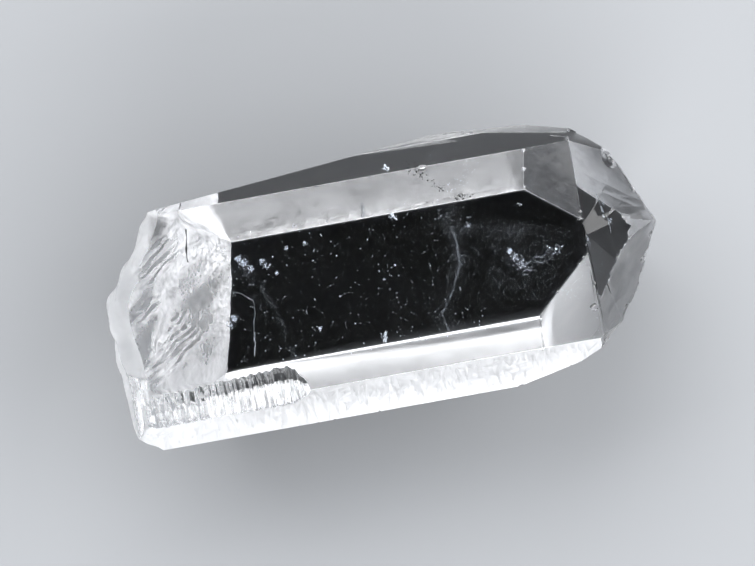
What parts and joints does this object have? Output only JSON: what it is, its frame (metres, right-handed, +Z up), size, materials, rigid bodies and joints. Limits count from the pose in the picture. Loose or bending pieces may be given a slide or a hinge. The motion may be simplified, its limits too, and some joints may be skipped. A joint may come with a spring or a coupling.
{
  "type": "quartz crystal point",
  "caption": "Clear quartz point lying on a flat prism face: a flattened hexagonal prism with a slanting faceted tip at one end and a rippled shell-like break at the other.",
  "frame": {"origin": "on the floor plane, under the middle of the bounding box", "axes": "+X along the prism towards the faceted tip, +Y across it towards the tapered side edge, +Z up out of the broad front face"},
  "size_m": [0.0521, 0.0246, 0.0161],
  "materials": {
    "clear_quartz": "colourless natural quartz, IOR 1.544, mirror-flat growth faces, satin-bright shell-like break"
  },
  "bodies": {
    "root": {"crystal_point": "clear_quartz"}
  },
  "joints": []
}
